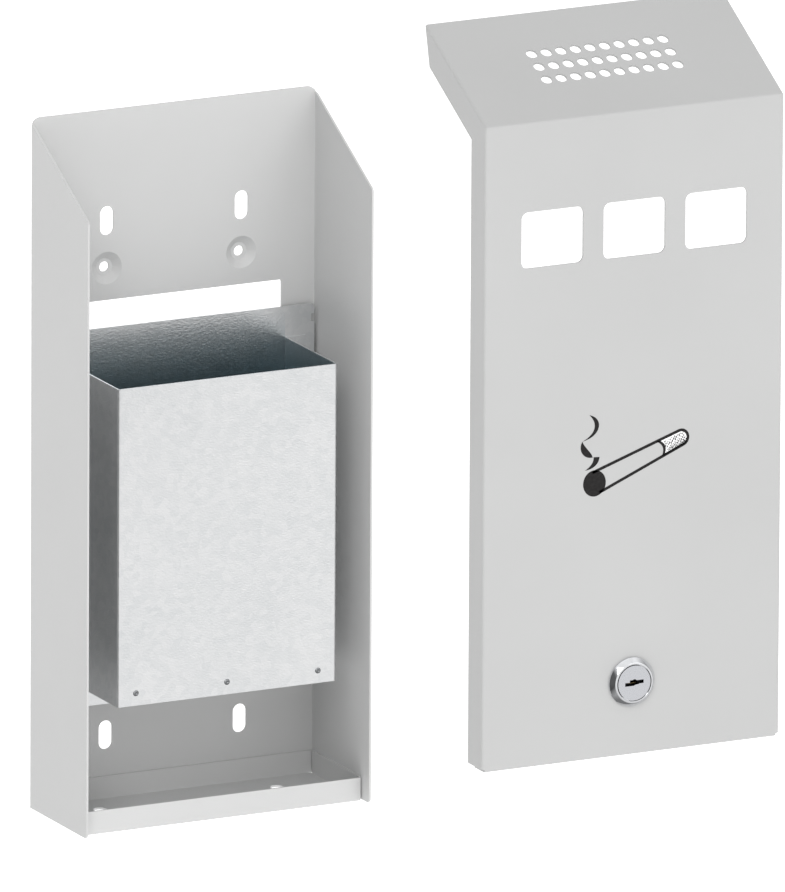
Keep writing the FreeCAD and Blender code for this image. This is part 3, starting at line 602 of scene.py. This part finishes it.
@dataclass
class Finishes:
    """Every finish of the bin but the plug's, built once."""

    coat: bpy.types.Material = field(default_factory=lambda: PowderCoat().build())
    # The cover wears the housing's powder coat in a darker tone: painted shade that offsets the extra
    # light on the convex cover.
    cover_coat_painted_shade: bpy.types.Material = field(
        default_factory=lambda: PowderCoat("cover_powder_coat_painted_shade", (0.490, 0.492, 0.490)).build()
    )
    zinc_sheet: bpy.types.Material = field(default_factory=lambda: GalvanisedSteel().build())
    chrome: bpy.types.Material = field(
        default_factory=lambda: PlatedMetal("polished_chrome", (0.80, 0.81, 0.83), 0.06).build()
    )
    zinc: bpy.types.Material = field(
        default_factory=lambda: PlatedMetal("bright_zinc", (0.66, 0.68, 0.70), 0.28).build()
    )
    # The rivets' steel is darkened: painted shade for the dark rings that the heads show.
    rivet: bpy.types.Material = field(
        default_factory=lambda: PlatedMetal("rivet_steel", (0.34, 0.35, 0.36), 0.38).build()
    )
    brass: bpy.types.Material = field(
        default_factory=lambda: PlatedMetal("wafer_brass", (0.74, 0.58, 0.28), 0.32).build()
    )
    ink: bpy.types.Material = field(
        default_factory=lambda: PrintInk("black_ink", (0.012, 0.011, 0.011)).build()
    )
    pale_ink: bpy.types.Material = field(
        default_factory=lambda: PrintInk("white_ink", (0.74, 0.74, 0.74)).build()
    )


def dress(material: bpy.types.Material, *names: str) -> None:
    """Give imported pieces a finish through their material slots.

    Args:
        material: the finish.
        names: the pieces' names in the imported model.
    """
    for name in names:
        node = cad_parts[name]
        for number in range(len(node.material_slots)):
            node.material_slots[number].material = material
        if not node.material_slots:
            node.data.materials.append(material)
        log.info("dressed %s in %s", name, material.name)


def settle(piece: bpy.types.Object, body: str, material: bpy.types.Material) -> None:
    """Put a new piece on its body and finish.

    Args:
        piece: the new piece.
        body: the body that it moves with.
        material: the finish.
    """
    piece.data.materials.append(material)
    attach(piece, body)


# ------------------------------------------------------------------ housing


@dataclass
class Housing:
    """The folded housing and the pan in its foot."""

    finishes: Finishes

    def build(self) -> None:
        """Dress the housing's pieces."""
        dress(self.finishes.coat, "back_housing", "bottom_pan")


# ------------------------------------------------------------------ container


@dataclass
class Container:
    """The lift-out container, its rivets and its spot welds."""

    finishes: Finishes
    sheet: float = 1.0 * MM
    rivet_pitch: float = 57.5 * MM
    head_radius: float = 1.75 * MM
    head_rise: float = 0.75 * MM
    head_steps: int = 32
    hollow_radius: float = 0.75 * MM
    weld_count: int = 4
    weld_radius: float = 1.5 * MM
    weld_depth: float = 0.10 * MM
    weld_rise: float = 5.0 * MM

    def build(self) -> None:
        """Dress the container and add its rivets and welds."""
        sheets = ("container_body", "container_back_plate", "container_bottom", "container_hanger")
        dress(self.finishes.zinc_sheet, *sheets)
        self.build_rivets()
        self.build_welds()

    def head_profile(self, face: float, outward: float) -> np.ndarray:
        """Outline one domed rivet head with the stub of its mandrel sunk in the middle.

        The dome's rise is head_rise times the square root of 1 - (radius / head_radius)^2.

        Args:
            face: the y of the sheet that the head sits on.
            outward: -1 towards the front, 1 towards the rear.

        Returns:
            Rows of (y, radius) from the axis out to the rim and back to the axis.
        """
        start = math.asin(self.hollow_radius / self.head_radius)
        radius = self.head_radius * np.sin(np.linspace(start, np.pi / 2, 12))
        rise = self.head_rise * np.sqrt(1 - (radius / self.head_radius) ** 2)
        floor = 0.15 * self.head_rise
        hollow = [(floor, 0.0), (floor, self.hollow_radius * 0.95)]
        dome = np.vstack([hollow, np.stack([rise, radius], axis=1), [(0.0, 0.0)]])
        return np.stack([face + outward * dome[:, 0], dome[:, 1]], axis=1)

    def build_rivets(self) -> None:
        """Three blind rivets with domed heads in front and bulbs behind."""
        low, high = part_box("container_bottom_rivets")
        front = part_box("container_body")[0].y
        middle = (low + high) / 2
        # A bulb is as high as a head, so it starts that far inside the rivets' box.
        rear = high.y - (front - low.y)
        patches = []
        for step in (-1, 0, 1):
            axis = Vector((middle.x + step * self.rivet_pitch, 0, middle.z))
            outer = self.head_profile(front, -1)
            patches.append(lathe(outer, axis, self.head_steps, closed=False))
            bulb = self.head_profile(rear, 1)[::-1]
            patches.append(lathe(bulb, axis, self.head_steps, closed=False))
        piece = make_piece("container_rivets", patches)
        settle(piece, "container", self.finishes.rivet)
        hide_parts("container_bottom_rivets")

    def build_welds(self) -> None:
        """Shallow spot-weld marks along both sides, where the floor's flanges are held.

        Each mark is a low swelling: its rise is weld_depth times 1 - (r / radius)^2.
        """
        body_low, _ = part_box("container_body")
        front = body_low.y
        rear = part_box("container_bottom")[1].y
        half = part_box("container_bottom")[1].x + self.sheet
        up = body_low.z + self.weld_rise
        radius = np.linspace(0, self.weld_radius, 5)[:, None]
        angle = np.linspace(0, 2 * np.pi, 20, endpoint=False)[None, :]
        swelling = self.weld_depth * (1 - (radius / self.weld_radius) ** 2)
        rise = np.broadcast_to(swelling, (radius * angle).shape)
        patches = []
        for side in (-1, 1):
            for number in range(self.weld_count):
                share = (number + 0.5) / self.weld_count
                depth = front + (rear - front) * share
                points = np.stack(
                    [
                        side * (half + rise),
                        depth + radius * np.cos(angle),
                        up + radius * np.sin(angle),
                    ],
                    axis=-1,
                )
                turn = Turn.OUT if side < 0 else Turn.IN
                patches.append(Patch(points, wrap_columns=True, turn=turn))
        piece = make_piece("container_spot_welds", patches)
        settle(piece, "container", self.finishes.zinc_sheet)


# ------------------------------------------------------------------ cover


@dataclass
class Symbol:
    """The printed cigarette, drawn in millimetres across and up from the cover's foot."""

    tip: tuple[float, float] = (-23.6, 158.0)
    end: tuple[float, float] = (29.7, 178.2)
    tip_reach: tuple[float, float] = (7.0, 7.5)
    tip_half: float = 6.3
    end_half: float = 4.3
    line: float = 1.7
    filter_start: float = 43.4
    filter_bulge: float = 2.4
    ink_rise: float = 0.05
    ground_share: float = 0.4
    specks: int = 110
    smoke_shift: tuple[float, float] = (-1.8, 2.4)

    def axis_point(self, along: np.ndarray, across: np.ndarray) -> np.ndarray:
        """Turn distances along and across the cigarette into cover coordinates.

        P(along, across) = tip + along unit + across normal, where unit points from the
        tip to the filter's end and normal is a quarter turn to its left.

        Args:
            along: distances from the tip's centre.
            across: distances from the cigarette's middle line.

        Returns:
            The points, (across, up) in the last direction.
        """
        start = np.array(self.tip)
        run = np.array(self.end) - start
        unit = run / np.linalg.norm(run)
        normal = np.array([-unit[1], unit[0]])
        return start + along[..., None] * unit + across[..., None] * normal

    def length(self) -> float:
        """Distance from the tip's centre to the filter end's centre."""
        return float(np.linalg.norm(np.array(self.end) - np.array(self.tip)))

    def half_width(self, along: np.ndarray) -> np.ndarray:
        """Half the cigarette's width, which narrows evenly towards the filter."""
        return self.tip_half + (self.end_half - self.tip_half) * along / self.length()

    def ruled(self, left: np.ndarray, right: np.ndarray) -> np.ndarray:
        """Span two curves: P(u, v) = (1 - v) left(u) + v right(u)."""
        return np.stack([left, right], axis=1)

    def outline(self) -> np.ndarray:
        """The band down one side, round the filter's end and back along the other.

        It spans the outline moved out and in by half a line.

        Returns:
            The band's grid.
        """
        length = self.length()
        along = np.linspace(1.0, length, 40)
        cap = np.linspace(np.pi / 2, -np.pi / 2, 33)
        bands = []
        for offset in (self.line / 2, -self.line / 2):
            reach = self.half_width(along) + offset
            end = self.end_half + offset
            upper = self.axis_point(along, reach)
            round_end = self.axis_point(length + end * np.cos(cap), end * np.sin(cap))
            lower = self.axis_point(along[::-1], -reach[::-1])
            bands.append(np.vstack([upper, round_end[1:-1], lower]))
        return self.ruled(bands[0], bands[1])

    def tip_disc(self) -> np.ndarray:
        """The glowing end as an ellipse: P = tip + v (a cos t, b sin t).

        Returns:
            The ellipse's grid.
        """
        t = np.linspace(0, 2 * np.pi, 49)
        rim = np.stack([self.tip_reach[0] * np.cos(t), self.tip_reach[1] * np.sin(t)], axis=1)
        centre = np.broadcast_to(np.array(self.tip), rim.shape)
        return self.ruled(centre, centre + rim)

    def filter_line(self) -> np.ndarray:
        """The curved line where the filter starts: its bulge falls off with t squared.

        Returns:
            The line's grid.
        """
        t = np.linspace(-1, 1, 21)
        along = self.filter_start + self.filter_bulge * (1 - t**2)
        across = t * self.half_width(along)
        half = self.line / 2
        return self.ruled(self.axis_point(along - half, across), self.axis_point(along + half, across))

    def filter_shade(self) -> np.ndarray:
        """The ragged shade along the filter's lower side.

        Its depth is a sum of three sines of the distance along, and grows towards the end.

        Returns:
            The shade's grid.
        """
        along = np.linspace(self.filter_start + 0.8, self.length() + 2.2, 90)
        lower = -self.half_width(along)
        share = (along - along[0]) / (along[-1] - along[0])
        ragged = 0.9 + 0.45 * np.sin(9 * along) + 0.35 * np.sin(5.3 * along + 1) + 0.2 * np.sin(17 * along)
        depth = np.maximum(ragged, 0.2) * (0.75 + 0.9 * share)
        return self.ruled(self.axis_point(along, lower), self.axis_point(along, lower + depth))

    def filter_specks(self) -> list[np.ndarray]:
        """Small dots over the filter, spread by two unrelated steps, denser low down.

        Returns:
            One disc's grid for each dot.
        """
        number = np.arange(self.specks)
        reach = self.length() - self.filter_start - 0.6
        along = self.filter_start + 3.4 + (number * SPREAD_ALONG % 1) * reach
        lift = (number * SPREAD_ACROSS + 0.37) % 1
        across = (-0.86 + 1.65 * lift**1.3) * (self.half_width(along) - 0.9)
        radius = 0.20 + 0.24 * ((number * GOLDEN) % 1)
        t = np.linspace(0, 2 * np.pi, 8)
        dots = []
        for centre, size in zip(self.axis_point(along, across), radius):
            rim = centre + size * np.stack([np.cos(t), np.sin(t)], axis=1)
            dots.append(self.ruled(np.broadcast_to(centre, rim.shape), rim))
        return dots

    def filter_ground(self) -> np.ndarray:
        """The pale ground under the specks, from the curved line to the round end.

        It stops a fifth of a line inside the outline's middle.

        Returns:
            The ground's grid.
        """
        inset = self.line * 0.2
        t = np.linspace(-1, 1, 25)
        reach = self.end_half - inset
        start = self.filter_start + self.filter_bulge * (1 - t**2)
        left = self.axis_point(start, t * (self.half_width(start) - inset))
        finish = self.length() + reach * np.sqrt(np.maximum(1 - t**2, 0))
        return self.ruled(left, self.axis_point(finish, t * reach))

    def smoke(self) -> list[np.ndarray]:
        """Three curling strokes, each the span between two cubic curves.

        Returns:
            One grid for each stroke.
        """
        strokes = [
            (
                [(-25.2, 194.9), (-19.5, 189.5), (-21.3, 183.6), (-29.3, 180.3)],
                [(-25.2, 194.9), (-16.2, 192.6), (-17.2, 182.3), (-29.3, 180.3)],
            ),
            (
                [(-29.4, 180.3), (-32.4, 175.6), (-28.8, 169.9), (-23.0, 170.5)],
                [(-29.4, 180.3), (-28.4, 177.0), (-23.6, 173.4), (-23.0, 170.5)],
            ),
            (
                [(-27.8, 163.5), (-25.0, 164.8), (-22.0, 167.5), (-22.5, 170.6)],
                [(-27.8, 163.5), (-22.6, 163.7), (-19.0, 166.4), (-18.8, 170.4)],
            ),
        ]
        shift = np.array(self.smoke_shift)
        return [self.ruled(bezier(left) + shift, bezier(right) + shift) for left, right in strokes]


@dataclass
class Cover:
    """The cover with its printed symbol."""

    finishes: Finishes
    symbol: Symbol = field(default_factory=Symbol)
    film_share: float = 0.8

    def lay_print(self, name: str, flats: list[np.ndarray], rise: float,
                  material: bpy.types.Material) -> None:
        """Lay flat drawings on the cover's front face as a thin film.

        The film's front stands off the face, and film_share of that is its thickness.

        Args:
            name: the piece's name.
            flats: grids of (across, up) in millimetres from the cover's foot.
            rise: how far the film stands off the face, in millimetres.
            material: the ink.
        """
        low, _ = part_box("front_cover")
        patches = []
        for flat in flats:
            depth = np.full(flat.shape[:2], low.y - rise * MM)
            points = np.stack([flat[..., 0] * MM, depth, low.z + flat[..., 1] * MM], axis=-1)
            first = flat[1:, 1:] - flat[:-1, 1:]
            second = flat[:-1, 1:] - flat[:-1, :-1]
            area = np.sum(first[..., 0] * second[..., 1] - first[..., 1] * second[..., 0])
            patches.append(Patch(points, turn=Turn.OUT if area > 0 else Turn.IN))
        piece = make_piece(name, patches, smooth=False)
        film = piece.modifiers.new("film", "SOLIDIFY")
        film.thickness = rise * MM * self.film_share
        film.offset = -1
        settle(piece, "cover", material)

    def build(self) -> None:
        """Dress the cover and print its symbol."""
        # The cover gets the darker copy of the powder coat: painted shade.
        dress(self.finishes.cover_coat_painted_shade, "front_cover")
        symbol = self.symbol
        ground, ground_rise = [symbol.filter_ground()], symbol.ink_rise * symbol.ground_share
        self.lay_print("symbol_filter_ground", ground, ground_rise, self.finishes.pale_ink)
        marks = [symbol.outline(), symbol.tip_disc(), symbol.filter_line(), symbol.filter_shade()]
        marks += symbol.filter_specks() + symbol.smoke()
        self.lay_print("printed_symbol", marks, symbol.ink_rise, self.finishes.ink)


# ------------------------------------------------------------------ lock


@dataclass
class CamLock:
    """The cam lock: turned barrel with a bevelled bezel and a real thread."""

    finishes: Finishes
    thread_pitch: float = 1.0 * MM
    thread_depth: float = 0.45 * MM
    thread_rows: int = 10
    bore_radius: float = 6.05 * MM
    recess_radius: float = 10.45 * MM
    tube_radius: float = 9.5 * MM
    face_radius: float = 11.5 * MM
    edge_radius: float = 0.25 * MM
    sharp_angle: float = 35.0
    rim: float = 1.2 * MM
    proud: float = 4.0 * MM
    recess_depth: float = 3.05 * MM
    steps: int = 96
    spring_count: int = 5
    coil_turns: int = 5
    wire_radius: float = 0.1 * MM

    def build(self) -> None:
        """Dress the lock and replace its barrel and springs."""
        low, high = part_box("lock_plug")
        middle = (low + high) / 2
        dress(PlugFinish(low.y, (middle.x, middle.z)).build(), "lock_plug")
        dress(self.finishes.zinc, "lock_washer", "lock_nut", "lock_stop_washer", "lock_cam")
        dress(self.finishes.zinc, "cam_washer", "cam_screw")
        dress(self.finishes.brass, "lock_wafers")
        self.build_barrel()
        self.build_springs()

    def build_barrel(self) -> None:
        """Turn the barrel; behind the cover its radius follows a V-shaped thread.

        radius(y, angle) = tube - ease * depth * |2 frac(y / pitch + angle / turn) - 1|,
        where ease fades the thread in over one pitch at both of its ends.
        """
        low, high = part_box("lock_barrel")
        axis = (low + high) / 2
        outer = high.x - axis.x
        front, rear = low.y, high.y
        seat = front + self.proud
        count = int(round((rear - seat) / self.thread_pitch)) * self.thread_rows
        thread_y = np.linspace(rear, seat, count)
        angle = np.linspace(0, 2 * np.pi, self.steps, endpoint=False)
        phase = (thread_y[:, None] / self.thread_pitch + angle[None, :] / (2 * np.pi)) % 1
        ease = np.clip(np.minimum(rear - thread_y, thread_y - seat) / self.thread_pitch, 0, 1)[:, None]
        tube = self.tube_radius - self.thread_depth * np.abs(2 * phase - 1) * ease

        edge = np.linspace(0, np.pi / 2, 5)
        soft = self.edge_radius
        bevel = np.array(
            [
                (seat, self.tube_radius),
                (seat, outer - soft),
                *zip(seat - soft * np.sin(edge), outer - soft + soft * np.sin(edge)),
                (front + self.proud - self.rim, outer),
                (front + soft * 0.7, self.face_radius + soft * 1.1),
                (front + soft * 0.2, self.face_radius + soft * 0.3),
                (front, self.face_radius - soft * 0.6),
                (front, self.recess_radius + soft * 0.5),
                (front + soft * 0.5, self.recess_radius),
                (front + self.recess_depth, self.recess_radius),
                (front + self.recess_depth, self.bore_radius),
                (rear, self.bore_radius),
            ]
        )
        threaded = np.stack(
            [
                axis.x + tube * np.cos(angle),
                np.broadcast_to(thread_y[:, None], tube.shape),
                axis.z + tube * np.sin(angle),
            ],
            axis=-1,
        )
        turned = lathe(bevel, axis, self.steps).points
        whole = np.vstack([threaded, turned])
        piece = make_piece("lock_barrel_turned", [Patch(whole, wrap_rows=True, wrap_columns=True)])
        sharpen = piece.modifiers.new("edges", "EDGE_SPLIT")
        sharpen.split_angle = math.radians(self.sharp_angle)
        settle(piece, "cover", self.finishes.chrome)
        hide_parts("lock_barrel")

    def build_springs(self) -> None:
        """Wind the wafer springs: a circle of wire carried along a helix.

        P(s, t) = centre(s) + wire (cos t outward(s) + sin t up), centre on the helix.
        """
        low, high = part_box("wafer_springs")
        width = high.x - low.x
        pitch = (high.y - low.y - width) / (self.spring_count - 1)
        radius = width / 2 - self.wire_radius
        s = np.linspace(0, 1, self.coil_turns * 16 + 1)[:, None]
        t = np.linspace(0, 2 * np.pi, 8, endpoint=False)[None, :]
        turn = 2 * np.pi * self.coil_turns * s
        reach = radius + self.wire_radius * np.cos(t)
        up = low.z + self.wire_radius + (high.z - low.z - 2 * self.wire_radius) * s
        patches = []
        for number in range(self.spring_count):
            centre_y = low.y + width / 2 + pitch * number
            points = np.stack(
                [
                    (low.x + high.x) / 2 + reach * np.cos(turn),
                    centre_y + reach * np.sin(turn),
                    up + self.wire_radius * np.sin(t),
                ],
                axis=-1,
            )
            patches.append(Patch(points, wrap_columns=True, turn=Turn.IN))
        piece = make_piece("wafer_spring_coils", patches)
        settle(piece, "lock", self.finishes.zinc)
        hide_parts("wafer_springs")


# ------------------------------------------------------------------ studio


@dataclass(frozen=True)
class Lamp:
    """A square area light that looks at the bin."""

    name: str
    place: Triple
    size: float
    power: float

    def build(self, aim: Vector) -> None:
        """Hang the light.

        Args:
            aim: the point that it looks at.
        """
        data = bpy.data.lights.new(self.name, "AREA")
        data.shape = "SQUARE"
        data.size = self.size
        data.energy = self.power
        light = bpy.data.objects.new(self.name, data)
        light.location = self.place
        look = aim - light.location
        light.rotation_mode = "QUATERNION"
        light.rotation_quaternion = look.to_track_quat("-Z", "Y")
        bpy.context.scene.collection.objects.link(light)


@dataclass
class Studio:
    """Floor, lights, sky and camera."""

    target: Vector = field(default_factory=lambda: Vector((0.1397, -0.0035, -0.1254)))
    azimuth: float = -26.354
    elevation: float = 14.869
    roll: float = 0.3
    distance: float = 18.0
    lens: float = 1272.0
    sensor: float = 36.0
    clip: tuple[float, float] = (1.0, 200.0)
    floor_drop: float = 0.05
    floor_reach: float = 60.0
    floor_tone: float = 0.80
    floor_roughness: float = 0.9
    floor_glow: float = 0.60
    aim: Vector = field(default_factory=lambda: Vector((0, -0.25, 0)))
    key: Lamp = Lamp("key_light", (-4.2, -6.6, 5.0), 4.2, 205)
    fill: Lamp = Lamp("fill_light", (3.2, -6.0, 1.5), 3.0, 20)
    sky_ramps: tuple[tuple[str, float, float, float, float], ...] = (
        ("Z", -0.95, -0.2, 0.22, 1.0),
        ("X", -0.80, -0.55, 0.12, 1.0),
        ("X", 0.60, 0.90, 1.0, 0.45),
    )

    def build(self) -> None:
        """Set up the floor, a soft key from the upper left, a weak fill, the sky and the camera."""
        self.build_floor()
        self.key.build(self.aim)
        self.fill.build(self.aim)
        self.build_world()
        self.build_camera()
        bpy.context.scene.view_settings.view_transform = "Standard"

    def build_floor(self) -> None:
        """A wide pale floor that glows a little and is left out of reflections."""
        reach = np.linspace(-self.floor_reach, self.floor_reach, 3)
        across, along = np.meshgrid(reach, reach, indexing="ij")
        height = np.full(across.shape, cad_low.z - self.floor_drop)
        floor = make_piece("floor", [Patch(np.stack([across, along, height], axis=-1))])
        shader = Shader("pale_floor")
        shader.fix("Base Color", (self.floor_tone, self.floor_tone, self.floor_tone, 1))
        shader.fix("Roughness", self.floor_roughness)
        shader.fix("Emission Color", (1, 1, 1, 1))
        shader.fix("Emission Strength", self.floor_glow)
        floor.data.materials.append(shader.material)
        floor.visible_glossy = False

    def build_world(self) -> None:
        """A plain sky that lights white from above, and darker from low down and the sides.

        Its strength is the product of three ramps over the direction's height and width,
        each given by its axis, its start and stop, and its strength at either. Where the
        sky is seen directly its strength is 1.
        """
        world = bpy.data.worlds.new("studio")
        world.use_nodes = True
        bpy.context.scene.world = world
        sky = Wiring(world.node_tree)
        split = sky.add("ShaderNodeSeparateXYZ")
        sky.link(sky.add("ShaderNodeTexCoord").outputs["Generated"], split.inputs["Vector"])
        total = None
        for axis, start, stop, low, high in self.sky_ramps:
            ramp = sky.spread(split.outputs[axis], low, high, (start, stop))
            total = ramp if total is None else sky.combine(Operation.TIMES, total, ramp)
        direct = sky.add("ShaderNodeLightPath").outputs["Is Camera Ray"]
        back = sky.tree.nodes["Background"]
        sky.link(sky.combine(Operation.LARGER, direct, total), back.inputs["Strength"])
        back.inputs["Color"].default_value = (1, 1, 1, 1)

    def build_camera(self) -> None:
        """A long lens on a far stand, turned and tipped by the three angles."""
        turn, tip, roll = (math.radians(a) for a in (self.azimuth, self.elevation, self.roll))
        back = Vector((math.sin(turn) * math.cos(tip), -math.cos(turn) * math.cos(tip), math.sin(tip)))
        right = Vector((math.cos(turn), math.sin(turn), 0))
        up = back.cross(right)
        rolled_right = math.cos(roll) * right + math.sin(roll) * up
        rolled_up = math.cos(roll) * up - math.sin(roll) * right
        data = bpy.data.cameras.new("camera")
        data.lens = self.lens
        data.sensor_width = self.sensor
        data.clip_start, data.clip_end = self.clip
        camera = bpy.data.objects.new("camera", data)
        rows = Matrix((rolled_right, rolled_up, back)).transposed()
        camera.matrix_world = Matrix.Translation(self.target + back * self.distance) @ rows.to_4x4()
        bpy.context.scene.collection.objects.link(camera)
        bpy.context.scene.camera = camera


def main() -> None:
    """Build every sub-assembly in order, then the studio."""
    logging.basicConfig(level=logging.INFO, format="%(name)s: %(message)s")
    finishes = Finishes()
    Housing(finishes).build()
    Container(finishes).build()
    Cover(finishes).build()
    CamLock(finishes).build()
    Studio().build()


if __name__ == "__main__":
    main()
